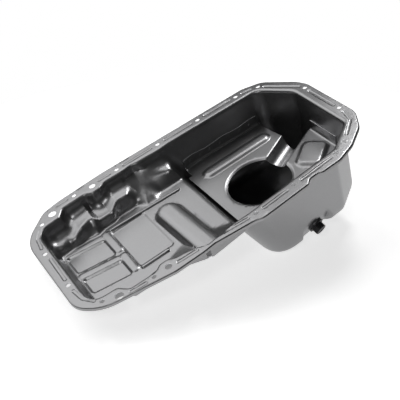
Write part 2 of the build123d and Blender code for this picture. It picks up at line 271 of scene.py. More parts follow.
class PanSizes(bpy.types.PropertyGroup):
    """Sizes of the pressed pan, in millimetres."""

    sheet: size("Sheet", "Thickness of the pan's steel", 1.6)
    lip_drop: size("Lip", "Height of the flange's turned-down lip", 5.0)
    lip_round: size("Lip round", "Radius over the lip", 2.0)
    bend: size("Bend", "Radius from the flange into a wall", 5.0)
    shelf_depth: size("Shelf depth", "Depth of the tray's shelf", 30.0)
    tray_depth: size("Tray depth", "Depth of the tray's floor", 44.0)
    sump_depth: size("Sump depth", "Depth of the sump's floor", 127.0)
    shelf_round: size("Shelf round", "Radius from wall to shelf", 20.0)
    ridge_round: size("Ridge round", "Radius over the shelf's edge", 4.0)
    floor_round: size("Tray round", "Radius into the tray's floor", 7.0)
    sump_round: size("Sump round", "Radius into the sump's floor", 17.0)
    step_round: size("Step round", "Radius over the edge of the sump", 5.0)
    bead_width: size("Bead width", "Width of the flange's beads", 6.5)
    bead_depth: size("Bead depth", "Depth of the flange's beads", 0.9)
    panel_sink: size("Panel depth", "Depth of the floor's sunk panels", 1.8)
    rib_height: size("Rib height", "Height of the floor's ribs", 2.4)
    rib_width: size("Rib width", "Width of the floor's ribs", 8.0)
    band_height: size("Band height", "Height of the floor's bands", 1.9)
    band_width: size("Band width", "Width of the floor's bands", 17.0)
    hump_half: size("Hump", "Half the width of the hump's foot", 21.0)
    hump_height: size("Hump height", "Height of the hump", 12.0)
    hump_round: size("Hump round", "Radius over the hump", 9.5)
    bolt_radius: size("Bolt hole", "Radius of a bolt hole", 3.6)
    dowel_radius: size("Dowel hole", "Radius of a dowel hole", 6.4)
    stud_radius: size("Stud hole", "Radius of a stud hole", 5.2)


class BaffleSizes(bpy.types.PropertyGroup):
    """Sizes of the baffle plate, in millimetres."""

    sheet: size("Sheet", "Thickness of the plate", 1.2)
    depth: size("Depth", "Depth of the plate below the gasket face", 55.0)
    flange_height: size("Weld flange", "Height of the weld flanges", 15.0)
    wall_gap: size("Wall gap", "Gap between plate and pan wall", 0.2)
    opening_radius: size("Opening", "Radius of the intake opening", 48.5)
    rim_drop: size("Rim", "Depth of the opening's turned-down rim", 3.0)
    trough_radius: size("Trough radius", "Radius of the trough", 17.0)
    trough_depth: size("Trough depth", "Depth of the trough", 13.0)
    pad_rise: size("Pad", "Height of the raised pad", 4.5)
    rib_rise: size("Rib", "Height of the long rib", 3.4)
    rib_width: size("Rib width", "Width of the long rib", 26.0)


class DrainSizes(bpy.types.PropertyGroup):
    """Sizes of the drain plug, washer and nut, in millimetres."""

    thread_radius: size("Thread radius", "Outer radius of the thread", 6.55)
    pitch: size("Pitch", "Rise of the thread per turn", 1.5)
    hexagon: size("Hexagon", "Width across the head's flats", 17.0)
    hexagon_height: size("Head height", "Height of the hexagon", 8.5)
    flange_radius: size("Flange radius", "Radius of the head's flange", 12.2)
    flange_height: size("Flange height", "Height of the head's flange", 2.5)
    washer_height: size("Washer height", "Thickness of the washer", 2.0)
    nut_height: size("Nut height", "Height of the weld nut", 11.0)


class PanColours(bpy.types.PropertyGroup):
    """Colours of the finishes."""

    coat: colour_property("Coat", "Grey coat of the pressings", (0.32, 0.32, 0.325))
    plug: colour_property("Plug", "Black finish of the plug", (0.018, 0.018, 0.02))
    washer: colour_property("Washer", "Dull metal of the washer", (0.16, 0.16, 0.165))
    floor: colour_property("Floor", "Pale studio floor", (0.82, 0.82, 0.82))


def smooth_max(a, b, width):
    """The larger of two levels, with the corner between them rounded over a width."""
    near = np.maximum(width - np.abs(a - b), 0) / width
    return np.maximum(a, b) + near * near * width / 4


def smooth_min(a, b, width):
    """The smaller of two levels, with the corner between them rounded over a width."""
    return -smooth_max(-a, -b, width)


def round_width(radius, corner=90.0):
    """Width of rounding that looks like a fillet of a radius in a corner of so many degrees."""
    return 4 * radius * (1 - math.sin(math.radians(corner) / 2))


def rounded_loop(outline, steps=6):
    """Points round an outline, with an arc at each corner."""
    points = []
    count = len(outline)
    for index in range(count):
        here = Vector(outline[index][:2])
        back = (Vector(outline[index - 1][:2]) - here).normalized()
        ahead = (Vector(outline[(index + 1) % count][:2]) - here).normalized()
        half = back.angle(ahead) / 2
        radius = outline[index][2]
        centre = here + (back + ahead).normalized() * radius / math.sin(half)
        start = here + back * radius / math.tan(half) - centre
        end = here + ahead * radius / math.tan(half) - centre
        for step in range(steps + 1):
            points.append(centre + start.slerp(end, step / steps) * radius)
    return np.array(points)


def line_distance(points, line):
    """Distance in plan from points to the nearest place on an open line."""
    best = np.full(len(points), np.inf)
    for start, end in zip(line, line[1:]):
        run = np.array(end, dtype=float) - start
        offset = points[:, :2] - start
        share = np.clip(offset @ run / (run @ run), 0, 1)
        best = np.minimum(best, np.linalg.norm(offset - share[:, None] * run, axis=1))
    return best


def lines_distance(points, lines):
    """Distance in plan from points to the nearest of several open lines."""
    return np.min([line_distance(points, line) for line in lines], axis=0)


def loop_distance(points, loop):
    """Distance in plan to a closed loop, negative inside it."""
    inside = np.zeros(len(points), dtype=bool)
    best = line_distance(points, np.vstack([loop, loop[:1]]))
    x, y = points[:, 0], points[:, 1]
    for (x1, y1), (x2, y2) in zip(loop, np.roll(loop, -1, axis=0)):
        across = (y1 > y) != (y2 > y)
        if y2 != y1:
            inside ^= across & (x < x1 + (y - y1) * (x2 - x1) / (y2 - y1))
    return np.where(inside, -best, best)


class PlanField:
    """Distance to a rounded outline, kept on a plan grid and read between its points by a cubic."""

    low = np.array([-262.0, -162.0])
    step = 2.0
    shape = (264, 164)

    def __init__(self, outline):
        steps = np.indices(self.shape).reshape(2, -1).T
        points = self.low + self.step * steps
        self.values = loop_distance(points, rounded_loop(outline)).reshape(self.shape)

    def __call__(self, points):
        place = (points[:, :2] - self.low) / self.step
        cell = np.clip(np.floor(place).astype(int), 1, np.array(self.shape) - 3)
        part = np.clip(place - cell, 0, 1)
        weights = [
            -part * (1 - part) ** 2 / 2,
            1 - 2.5 * part**2 + 1.5 * part**3,
            part * (1 + 4 * part - 3 * part**2) / 2,
            part**2 * (part - 1) / 2,
        ]
        total = np.zeros(len(points))
        for i in range(4):
            for j in range(4):
                values = self.values[cell[:, 0] + i - 1, cell[:, 1] + j - 1]
                total += weights[i][:, 0] * weights[j][:, 1] * values
        return total


FLANGE_FIELD = PlanField(FLANGE)
TOP_FIELD = PlanField(TRAY_TOP)
RIDGE_FIELD = PlanField(TRAY_RIDGE)
FOOT_FIELD = PlanField(TRAY_FOOT)


def bump(distance, width):
    """Height from 0 to 1 of a round-topped ridge of a given width."""
    share = np.clip(1 - (2 * distance / width) ** 2, 0, 1)
    return share * share * (3 - 2 * share)


def step_down(distance, width):
    """1 inside an edge and 0 outside it, with a soft step of a given width."""
    share = np.clip(0.5 - distance / width, 0, 1)
    return share * share * (3 - 2 * share)


def box_distance(points, low_x, high_x, low_y, high_y, corner):
    """Distance in plan to a rounded rectangle, negative inside it."""
    across = np.abs(points[:, 0] - (low_x + high_x) / 2) - (high_x - low_x) / 2 + corner
    along = np.abs(points[:, 1] - (low_y + high_y) / 2) - (high_y - low_y) / 2 + corner
    outside = np.hypot(np.maximum(across, 0), np.maximum(along, 0))
    return outside + np.minimum(np.maximum(across, along), 0) - corner


def panel_distance(points, panel):
    """Distance in plan to the edge of a floor panel; those at the front run slightly askew."""
    askew = points[:, :2].copy()
    askew[:, 1] += PANEL_SKEW * np.minimum(points[:, 0] - PANEL_SKEW_X, 0)
    return box_distance(askew, *panel, PANEL_CORNER)


def floor_height(points, sizes):
    """Rise of the tray floor's ribs and sink of its panels."""
    height = np.zeros(len(points))
    for panel in PANELS:
        height -= sizes.panel_sink * step_down(panel_distance(points, panel), PANEL_EDGE)
    bands = sizes.band_height * bump(lines_distance(points, BANDS), sizes.band_width)
    ribs = sizes.rib_height * bump(lines_distance(points, RIBS), sizes.rib_width)
    return height + np.maximum(bands, ribs)


def sump_walls(points, shift=0.0):
    """Distance outside the sump's drafted walls, negative within them."""
    level = None
    count = len(SUMP)
    for index in range(count):
        start, end = Vector(SUMP[index][:2]), Vector(SUMP[(index + 1) % count][:2])
        before = Vector(SUMP[index - 1][:2])
        run = (end - start).normalized()
        side = run.y * (points[:, 0] - start.x) - run.x * (points[:, 1] - start.y)
        side = side - SUMP_DRAFTS[index] * points[:, 2] + shift
        if level is None:
            level = side
            continue
        corner = math.degrees((before - start).angle(end - start))
        level = smooth_max(level, side, round_width(SUMP[index][2] * SUMP_CORNER, corner))
    return level


def from_drain(points):
    """Distance of points from the drain seat along the plug's axis, and away from that axis."""
    offset = points - DRAIN_SEAT
    along = offset @ DRAIN_OUT
    return along, np.linalg.norm(offset - along[:, None] * DRAIN_OUT, axis=1)


def seat_depth(points, sizes):
    """How far points lie inside the drain seat, on the inner skin."""
    along, radial = from_drain(points)
    return smooth_min(along + sizes.sheet, SEAT_RADIUS + sizes.sheet - radial, round_width(SMALL_ROUND))


def pan_level(points):
    """Level of the pan's upper skin: negative in the air above it and positive in the sheet."""
    sizes = bpy.context.scene.pan_sizes
    z = points[:, 2]
    lift = np.where(points[:, 1] > 0, np.interp(points[:, 0], *zip(*FAR_RISE)), 0)
    shelf = sizes.shelf_depth - lift
    upper = smooth_max(TOP_FIELD(points) - WALL_DRAFT * z, -(z + shelf), round_width(sizes.shelf_round))
    share = np.clip((-shelf - z) / (sizes.tray_depth - shelf), -OVERRUN, 1 + OVERRUN)
    slope = RIDGE_FIELD(points) * (1 - share) + FOOT_FIELD(points) * share
    floor = floor_height(points, sizes) - z - sizes.tray_depth
    lower = smooth_max(slope, floor, round_width(sizes.floor_round, corner=120))
    tray = smooth_min(upper, lower, round_width(sizes.ridge_round))

    rise = z + sizes.tray_depth
    beside = sizes.hump_half - line_distance(points, HUMP) - HUMP_LEAN * rise
    hump = smooth_min(beside, sizes.hump_height - rise, round_width(sizes.hump_round))
    tray = smooth_max(tray, hump, round_width(SMALL_ROUND))

    sump = smooth_max(sump_walls(points), -(z + sizes.sump_depth), round_width(sizes.sump_round))
    hollow = smooth_min(tray, sump, round_width(sizes.step_round))
    hollow = smooth_max(hollow, seat_depth(points, sizes), round_width(SMALL_ROUND))

    bead = bump(lines_distance(points, BEADS), sizes.bead_width)
    level = smooth_min(-z - sizes.bead_depth * bead, hollow, round_width(sizes.bend))
    return smooth_min(level, -FLANGE_FIELD(points), round_width(sizes.lip_round))


def cuts_distance(points, cuts):
    """Distance from points to the nearest edge that any of the cuts makes."""
    return np.min([abs(cut(points)) for cut in cuts], axis=0)


def pan_spacing(points):
    """Longest edge that the pan's mesh may have near each point."""
    on_flange = points[:, 2] > FINE_ABOVE
    by_lip = on_flange & (abs(FLANGE_FIELD(points)) < LIP_WIDTH)
    by_bead = on_flange & (lines_distance(points, BEADS) < BEAD_REACH)
    spacing = np.where(by_bead, BEAD_MESH, np.where(by_lip, LIP_MESH, PLAIN_MESH))
    spacing = np.where(cuts_distance(points, pan_holes()) < CUT_REACH, HOLE_MESH, spacing)
    panels = np.min([abs(panel_distance(points, panel)) for panel in PANELS], axis=0)
    by_detail = (panels < PANEL_REACH) | (lines_distance(points, BANDS + RIBS) < RIB_REACH)
    return np.where(by_detail & (points[:, 2] < FINE_BELOW), DETAIL_MESH, spacing)


def round_hole(x, y, radius):
    """Cut of an upright hole: positive inside it."""
    return lambda points: radius - np.hypot(points[:, 0] - x, points[:, 1] - y)


def drain_hole(points):
    """Cut of the drain hole, only near the seat."""
    along, radial = from_drain(points)
    return DRAIN_HOLE_RADIUS - radial - np.maximum(abs(along) - DRAIN_HOLE_REACH, 0)


def pan_holes():
    """Cuts of all holes in the pan."""
    sizes = bpy.context.scene.pan_sizes
    holes = [round_hole(x, y, getattr(sizes, kind)) for kind, places in HOLES.items() for x, y in places]
    return holes + [drain_hole]


def lip_cut(points):
    """Cut below the flange's lip, only outside the pan's walls."""
    sizes = bpy.context.scene.pan_sizes
    return np.minimum(-sizes.lip_drop - points[:, 2], FLANGE_FIELD(points) + LIP_WIDTH)


def turned(points, x, y, angle):
    """Distance of points in plan along and across a way that leaves a place at an angle."""
    right, up = points[:, 0] - x, points[:, 1] - y
    return right * math.cos(angle) + up * math.sin(angle), up * math.cos(angle) - right * math.sin(angle)


def pad_distance(points):
    """Distance in plan to the edge of the plate's pad, negative inside it."""
    half_x, half_y = PAD_SIZE[0] / 2, PAD_SIZE[1] / 2
    own = np.stack(turned(points, *PAD, PAD_TURN), axis=1)
    return box_distance(own, -half_x, half_x, -half_y, half_y, PAD_CORNER)


def trough_distance(points, sizes):
    """Distance to the wall of the trough, negative inside it."""
    along, across = turned(points, INTAKE[0], TROUGH_Y, TROUGH_TURN)
    middle = sizes.trough_radius - sizes.trough_depth - sizes.depth
    return smooth_max(np.hypot(across, points[:, 2] - middle) - sizes.trough_radius, -along, TROUGH_EDGE)


def baffle_level(points):
    """Level of the baffle's upper skin: negative in the air above it and positive in the sheet."""
    sizes = bpy.context.scene.baffle_sizes
    radial = np.hypot(points[:, 0] - INTAKE[0], points[:, 1] - INTAKE[1]) - sizes.opening_radius
    height = sizes.pad_rise * step_down(pad_distance(points), PAD_EDGE) - sizes.depth
    height += sizes.rib_rise * bump(line_distance(points, PLATE_RIB), sizes.rib_width)
    height -= sizes.rim_drop * step_down(radial - INTAKE_INSET, INTAKE_EDGE)
    beside = np.min([box_distance(points, *box, WELD_CORNER) for box in WELD_FLANGES], axis=0)
    wall = sump_walls(points, sizes.wall_gap + sizes.sheet) - np.clip(beside, 0, WELD_RAMP)
    level = smooth_max(height - points[:, 2], wall, round_width(PLATE_BEND))
    return smooth_min(level, trough_distance(points, sizes), round_width(SMALL_ROUND))


def weld_wave(points):
    """Slight wave along the tops of the weld flanges."""
    return WELD_WAVE * np.sin(points[:, 0] / WELD_WAVE_RUN)


def baffle_cuts():
    """Cuts of the baffle: wall gap, weld flange tops, front edge, intake opening, rear corner and notch."""
    sizes = bpy.context.scene.baffle_sizes
    corner = np.array(CORNER_OPENING, dtype=float)
    return [
        lambda points: sump_walls(points, sizes.wall_gap),
        lambda points: points[:, 2] + sizes.depth - sizes.flange_height + weld_wave(points),
        lambda points: PLATE_FRONT - points[:, 0],
        round_hole(*INTAKE, sizes.opening_radius),
        lambda points: -loop_distance(points, corner),
        lambda points: -box_distance(points, *NOTCH, NOTCH_CORNER),
    ]


def baffle_spacing(points):
    """Longest edge that the baffle's mesh may have near each point."""
    by_detail = (abs(pad_distance(points)) < PAD_REACH) | (line_distance(points, PLATE_RIB) < RIB_REACH)
    spacing = np.where(by_detail, PAD_MESH, PLAIN_MESH)
    return np.where(cuts_distance(points, baffle_cuts()) < CUT_REACH, DETAIL_MESH, spacing)


def slope_of(level, points):
    """Gradient of a level at each point."""
    reach = 0.02
    here = level(points)
    parts = [(level(points + np.eye(3)[axis] * reach) - here) / reach for axis in range(3)]
    return here, np.stack(parts, axis=1)


def settle(level, points, rounds=3):
    """Points moved onto a surface along its slope."""
    for _ in range(rounds):
        here, slope = slope_of(level, points)
        points = points - slope * (here / np.maximum((slope**2).sum(1), 0.05))[:, None].clip(-4, 4)
    return points


def outward(level, points):
    """Unit normals of a surface, pointing out of the sheet into the air."""
    slope = slope_of(level, points)[1]
    return -slope / np.linalg.norm(slope, axis=1, keepdims=True)


def surface_net(level, low, high, cell):
    """Quad mesh of a surface: one point in each grid cell that it passes, one face for each grid edge."""
    low = np.array(low, dtype=float)
    counts = np.ceil((np.array(high) - low) / cell).astype(int) + 1
    grid = low + cell * np.indices(counts).reshape(3, -1).T
    values = level(grid).reshape(counts)
    corner_values = np.stack([
        values[i:counts[0] - 1 + i, j:counts[1] - 1 + j, k:counts[2] - 1 + k] for i, j, k in CORNERS
    ])
    below = corner_values < 0
    cells = np.argwhere(below.any(0) & ~below.all(0))
    at_cells = corner_values[:, cells[:, 0], cells[:, 1], cells[:, 2]]
    total = np.zeros((len(cells), 3))
    hits = np.zeros(len(cells))
    for a, b in CELL_EDGES:
        crossed = (at_cells[a] < 0) != (at_cells[b] < 0)
        gap = np.where(crossed, at_cells[a] - at_cells[b], 1)
        share = np.where(crossed, at_cells[a] / gap, 0)[:, None]
        total += np.where(crossed[:, None], CORNERS[a] + share * (CORNERS[b] - CORNERS[a]), 0)
        hits += crossed
    points = low + cell * (cells + total / hits[:, None])
    number = np.full(counts, -1)
    number[cells[:, 0], cells[:, 1], cells[:, 2]] = np.arange(len(cells))

    faces = []
    for axis in range(3):
        one, two = [(1, 2), (2, 0), (0, 1)][axis]
        ahead = np.roll(values, -1, axis=axis)
        crossed = (values < 0) != (ahead < 0)
        crossed[tuple(slice(-1, None) if a == axis else slice(None) for a in range(3))] = False
        spots = np.argwhere(crossed)
        spots = spots[(spots[:, one] > 0) & (spots[:, two] > 0)]
        quads = []
        for back_one, back_two in ((1, 1), (0, 1), (0, 0), (1, 0)):
            near = spots.copy()
            near[:, one] -= back_one
            near[:, two] -= back_two
            quads.append(number[near[:, 0], near[:, 1], near[:, 2]])
        quads = np.stack(quads, axis=1)
        rising = values[spots[:, 0], spots[:, 1], spots[:, 2]] < 0
        quads[rising] = quads[rising][:, ::-1]
        faces.append(quads[(quads >= 0).all(1)])
    return points, np.vstack(faces)


def coordinates(vertices):
    """Places of some vertices of a mesh under work."""
    return np.array([vertex.co for vertex in vertices])


def centres_of(net):
    """Middle of each face of a mesh under work."""
    return np.array([face.calc_center_median() for face in net.faces])


def place(vertices, points):
    """Move some vertices of a mesh under work."""
    for vertex, point in zip(vertices, points):
        vertex.co = point


def refine(net, level, spacing, turn=14.0, shortest=1.6, rounds=3):
    """Halve the edges that are longer than the spacing or that bend too far."""
    for _ in range(rounds):
        net.verts.index_update()
        points = coordinates(net.verts)
        normals = outward(level, points)
        ends = np.array([[v.index for v in edge.verts] for edge in net.edges])
        length = np.linalg.norm(points[ends[:, 0]] - points[ends[:, 1]], axis=1)
        bend = np.degrees(np.arccos(np.clip((normals[ends[:, 0]] * normals[ends[:, 1]]).sum(1), -1, 1)))
        middle = (points[ends[:, 0]] + points[ends[:, 1]]) / 2
        long = (length > spacing(middle)) | ((bend > turn) & (length > shortest))
        net.edges.ensure_lookup_table()
        chosen = [net.edges[i] for i in np.flatnonzero(long)]
        if not chosen:
            return
        bmesh.ops.subdivide_edges(net, edges=chosen, cuts=1, use_grid_fill=True)
        bmesh.ops.triangulate(net, faces=[face for face in net.faces if len(face.verts) > 4])
        place(net.verts, settle(level, coordinates(net.verts)))


def trim(net, level, cut):
    """Delete the faces inside a cut and draw the new edge onto it."""
    away = cut(centres_of(net)) > 0
    if not away.any():
        return
    faces = list(net.faces)
    bmesh.ops.delete(net, geom=[faces[i] for i in np.flatnonzero(away)], context="FACES")
    edge = [vertex for vertex in net.verts if vertex.is_boundary]
    points = coordinates(edge)
    near = abs(cut(points)) < CUT_REACH
    edge = [vertex for vertex, keep in zip(edge, near) if keep]
    points = points[near]
    for _ in range(4):
        value, slope = slope_of(cut, points)
        normals = outward(level, points)
        slope = slope - (slope * normals).sum(1, keepdims=True) * normals
        points = points - slope * (value / np.maximum((slope**2).sum(1), 0.1))[:, None]
        points = settle(level, points, rounds=1)
    place(edge, points)


def mesh_from(net, name):
    """Mesh made of a mesh under work, which is then let go."""
    mesh = bpy.data.meshes.new(name)
    net.to_mesh(mesh)
    net.free()
    return mesh


def add_object(name, data):
    """New object in the scene."""
    made = bpy.data.objects.new(name, data)
    bpy.context.scene.collection.objects.link(made)
    return made


def pressed_sheet(name, level, grid, spacing, cuts, sheet, material):
    """Sheet metal piece: the upper skin as a net, trimmed, and its lower skin one sheet away."""
    low, high, cell = grid
    points, faces = surface_net(level, low, high, cell)
    points = settle(level, points, rounds=5)
    draft = bpy.data.meshes.new(name + "_skin")
    draft.from_pydata(points.tolist(), [], faces.tolist())
    net = bmesh.new()
    net.from_mesh(draft)
    bpy.data.meshes.remove(draft)
    far = [face for face, away in zip(list(net.faces), cuts[0](centres_of(net)) > 2 * cell) if away]
    bmesh.ops.delete(net, geom=far, context="FACES")
    refine(net, level, spacing)
    for cut in cuts:
        trim(net, level, cut)
    loose = [vertex for vertex in net.verts if not vertex.link_faces]
    bmesh.ops.delete(net, geom=loose, context="VERTS")
    net.verts.index_update()
    points = coordinates(net.verts)
    normals = outward(level, points)
    upper = [[vertex.index for vertex in face.verts] for face in net.faces]
    rim = [
        (loop.vert.index, loop.link_loop_next.vert.index)
        for face in net.faces for loop in face.loops if loop.edge.is_boundary
    ]
    net.free()

    count = len(points)
    lower = [[index + count for index in reversed(face)] for face in upper]
    edges = [[b, a, a + count, b + count] for a, b in rim]
    mesh = bpy.data.meshes.new(name)
    every = np.vstack([points, points - normals * sheet]) * MM
    skins = upper + lower
    mesh.from_pydata(every.tolist(), [], skins + edges)
    # Mask of the faces along every cut edge; the coat makes them rougher and paints them brighter as a
    # painted highlight
    marks = mesh.attributes.new("cut_edge_highlight", "FLOAT", "FACE")
    marks.data.foreach_set("value", [0.0] * len(skins) + [1.0] * len(edges))
    mesh.update()
    smooth = np.vstack([normals, -normals])
    loop_normals = [tuple(smooth[index]) for face in skins for index in face]
    for polygon in mesh.polygons[len(skins):]:
        loop_normals += [tuple(polygon.normal)] * 4
    mesh.normals_split_custom_set(loop_normals)
    mesh.materials.append(material)
    return add_object(name, mesh)


class Socket:
    """A node's output, so that sums on it add the Math nodes for them."""

    def __init__(self, tree, output):
        self.tree = tree
        self.output = output

    def math(self, operation, *values):
        return add_node(self.tree, "ShaderNodeMath", {"operation": operation}, dict(enumerate(values)))

    def __add__(self, other):
        return self.math("ADD", self, other)

    def __mul__(self, other):
        return self.math("MULTIPLY", self, other)

    def clamp(self, low, high):
        return self.math("MINIMUM", self.math("MAXIMUM", self, low), high)

    __radd__ = __add__
    __rmul__ = __mul__


def add_node(tree, kind, settings=None, values=None, output=0):
    """Add a node, set it up, feed its sockets with numbers or links and return one output."""
    node = tree.nodes.new(kind)
    for name, value in (settings or {}).items():
        setattr(node, name, value)
    for name, value in (values or {}).items():
        if isinstance(value, Socket):
            tree.links.new(value.output, node.inputs[name])
        else:
            node.inputs[name].default_value = value
    return Socket(tree, node.outputs[output]) if node.outputs else None


def new_material(name):
    """New material and its node tree, still empty."""
    material = bpy.data.materials.new(name)
    material.use_nodes = True
    material.node_tree.nodes.clear()
    return material, material.node_tree


def finish_material(tree, shader):
    """Join a shader to the material's output."""
    add_node(tree, "ShaderNodeOutputMaterial", None, {"Surface": shader})


def noises(tree, *kinds):
    """Noise over the object's own place for each (scale, detail)."""
    spot = add_node(tree, "ShaderNodeTexCoord", None, None, "Object")
    return [
        add_node(tree, "ShaderNodeTexNoise", None, {"Vector": spot, "Scale": scale, "Detail": detail})
        for scale, detail in kinds
    ]


def finish_metal(tree, colour, shade, metallic, rough, relief):
    """Surface whose colour is multiplied by a shade, with a relief as (strength, distance, height)."""
    grey = add_node(tree, "ShaderNodeCombineColor", None, {0: shade, 1: shade, 2: shade})
    tint = add_node(
        tree, "ShaderNodeMix", {"data_type": "RGBA", "blend_type": "MULTIPLY"},
        {0: 1.0, 6: (*colour, 1.0), 7: grey}, 2,
    )
    relief = dict(zip(("Strength", "Distance", "Height"), relief))
    bumped = add_node(tree, "ShaderNodeBump", None, relief)
    finish_material(tree, add_node(
        tree, "ShaderNodeBsdfPrincipled", None,
        {"Base Color": tint, "Metallic": metallic, "Roughness": rough, "Normal": bumped},
    ))


def coated_steel(colour):
    """Satin grey coat on pressed steel: faint mottling, fine grain, and rougher cut edges with a painted
    highlight on them.
    """
    material, tree = new_material("satin_grey_coat")
    cloud, grain, speck = noises(tree, (14.0, 3.0), (900.0, 2.0), (260.0, 4.0))
    edge = add_node(tree, "ShaderNodeAttribute", {"attribute_name": "cut_edge_highlight"}, None, "Fac")
    # edge * 1.8 is a painted highlight: it lightens the colour of the faces along the cut edges of rims and
    # holes
    shade = cloud * 0.16 + speck * 0.06 + edge * 1.8 + 0.89
    rough = (cloud * 0.14 + grain * 0.10 + edge * 0.5 + 0.21).clamp(0.2, 0.9)
    finish_metal(tree, colour, shade, 1.0, rough, (0.12, 0.0004, grain + speck * 0.6))
    return material


def dark_finish(name, colour, metallic, roughness):
    """Coated or dull metal of a small part, with fine grain and rubbed patches."""
    material, tree = new_material(name)
    cloud, grain = noises(tree, (120.0, 4.0), (1500.0, 2.0))
    rough = (cloud * 0.2 + (roughness - 0.1)).clamp(0.1, 0.9)
    finish_metal(tree, colour, cloud * 0.8 + 0.6, metallic, rough, (0.1, 0.0002, grain))
    return material


def pan_coat():
    """Finish of both pressings, the weld nut and the weld marks, made once."""
    return bpy.data.materials.get("satin_grey_coat") or coated_steel(bpy.context.scene.pan_colours.coat)


def register_piece(piece, body, slot, *nodes):
    """Say what a piece rides on and which nodes it stands for; the slot is not used."""
    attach(piece, body)
    if nodes:
        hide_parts(*nodes)


class MESH_OT_pan_pressing(bpy.types.Operator):
    """Build the pan as one pressing with its flange, tray, sump and drain seat"""

    bl_idname = "mesh.pan_pressing"
    bl_label = "Pan pressing"

    def execute(self, context):
        sizes = context.scene.pan_sizes
        piece = pressed_sheet(
            "pan_pressing", pan_level, PAN_GRID, pan_spacing, [lip_cut] + pan_holes(), sizes.sheet, pan_coat()
        )
        register_piece(piece, "pan", "shell_steel", "pan_shell")
        return {"FINISHED"}


class MESH_OT_baffle_plate(bpy.types.Operator):
    """Build the baffle plate with its weld flanges, intake opening, trough, rib and pad"""

    bl_idname = "mesh.pan_baffle"
    bl_label = "Baffle plate"

    def execute(self, context):
        sizes = context.scene.baffle_sizes
        piece = pressed_sheet(
            "baffle_plate", baffle_level, BAFFLE_GRID, baffle_spacing, baffle_cuts(), sizes.sheet, pan_coat()
        )
        register_piece(piece, "pan", "baffle_steel", "sump_baffle")
        return {"FINISHED"}


def drain_matrix():
    """Place of the plug's own frame: its Z runs out along the plug from the drain seat."""
    out = Vector(DRAIN_OUT)
    side = Vector((math.cos(DRAIN_TURN), math.sin(DRAIN_TURN), 0))
    turn = Matrix((side, out.cross(side), out)).transposed().to_4x4()
    return Matrix.Translation(Vector(DRAIN_SEAT) * MM) @ turn


def ringed_solid(net, rings):
    """Closed solid through rings of points, each ring one height further on."""
    rows = [[net.verts.new(point) for point in ring] for ring in rings]
    for low, high in zip(rows, rows[1:]):
        for index in range(len(low)):
            ahead = (index + 1) % len(low)
            net.faces.new((low[index], low[ahead], high[ahead], high[index]))
    net.faces.new(list(reversed(rows[0])))
    net.faces.new(rows[-1])


def around(radius, turn, height):
    """Place at a turn about the plug's axis."""
    return Vector((radius * math.cos(turn), radius * math.sin(turn), height)) * MM


def round_ring(radius, height):
    """Points of a circle about the plug's axis."""
    return [around(radius, turn, height) for turn in RING_TURNS]


def hexagon_ring(width, corner, height, fall=0.0):
    """Points of a hexagon with clipped corners; a fall lowers the corners to a cone."""
    ring = []
    for turn in RING_TURNS:
        from_flat = (turn % (math.pi / 3)) - math.pi / 6
        radius = min(width / 2 / math.cos(from_flat), corner)
        drop = fall * max(radius - width / 2 * FACE_SHARE, 0)
        ring.append(around(radius, turn, height - drop))
    return ring


def make_plug_body(sizes, sheet):
    """Head, flange and shank of the drain plug through the sheet and its nut, in the plug's own frame."""
    net = bmesh.new()
    base = sizes.washer_height
    shoulder = base + sizes.flange_height
    top = shoulder + sizes.hexagon_height
    edge = sizes.flange_radius
    ringed_solid(net, [
        round_ring(edge - 0.4, base), round_ring(edge, base + 0.4), round_ring(edge, base + 1.3),
        round_ring(edge - 0.3, base + 1.6), round_ring(edge - 2.6, shoulder), round_ring(5.0, shoulder + 0.1),
    ])
    width = sizes.hexagon
    corner = width / 2 / math.cos(math.pi / 6) * CORNER_CLIP
    face = width / 2 * FACE_SHARE
    ringed_solid(net, [
        hexagon_ring(width + 0.8, corner + 0.4, shoulder - 0.3), hexagon_ring(width, corner, shoulder + 0.5),
        hexagon_ring(width, corner, top - 0.15, CHAMFER_FALL), round_ring(face, top),
        round_ring(face * 0.72, top), round_ring(face * 0.62, top - 0.7), round_ring(1.0, top - 0.9),
    ])
    core = sizes.thread_radius - THREAD_RIDGE
    tip = -(sheet + sizes.nut_height + TIP_STAND)
    ringed_solid(net, [
        round_ring(core - 1.6, tip), round_ring(core, tip + 1.2), round_ring(core, base - 1.2),
        round_ring(core + 0.6, base - 0.3), round_ring(core + 0.9, base + 0.1),
    ])
    return mesh_from(net, "plug_body")


def node_group(name, inputs):
    """Geometry node tree with a geometry in and out, and named number or material inputs."""
    tree = bpy.data.node_groups.new(name, "GeometryNodeTree")
    tree.interface.new_socket("Geometry", in_out="INPUT", socket_type="NodeSocketGeometry")
    for label, kind in inputs.items():
        tree.interface.new_socket(label, in_out="INPUT", socket_type=kind)
    tree.interface.new_socket("Geometry", in_out="OUTPUT", socket_type="NodeSocketGeometry")
    tree.nodes.new("NodeGroupInput")
    tree.nodes.new("NodeGroupOutput")
    return tree


def group_input(tree, label):
    """One named input of a node tree."""
    return Socket(tree, tree.nodes["Group Input"].outputs[label])


def close_group(tree, geometry):
    """End a node tree in real meshes with their material."""
    real = add_node(tree, "GeometryNodeRealizeInstances", None, {"Geometry": geometry})
    painted = add_node(
        tree, "GeometryNodeSetMaterial", None, {"Geometry": real, "Material": group_input(tree, "Material")}
    )
    tree.links.new(painted.output, tree.nodes["Group Output"].inputs["Geometry"])


def grown(name, tree, start, values, material):
    """Object made by a node tree from a start mesh, as a plain mesh at the origin."""
    seed = add_object(name + "_seed", start)
    modifier = seed.modifiers.new(name, "NODES")
    modifier.node_group = tree
    sockets = {item.name: item.identifier for item in tree.interface.items_tree if item.in_out == "INPUT"}
    for label, value in values.items():
        modifier[sockets[label]] = value
    modifier[sockets["Material"]] = material
    evaluated = seed.evaluated_get(bpy.context.evaluated_depsgraph_get())
    mesh = bpy.data.meshes.new_from_object(evaluated)
    bpy.data.objects.remove(seed)
    mesh.name = name
    return add_object(name, mesh)


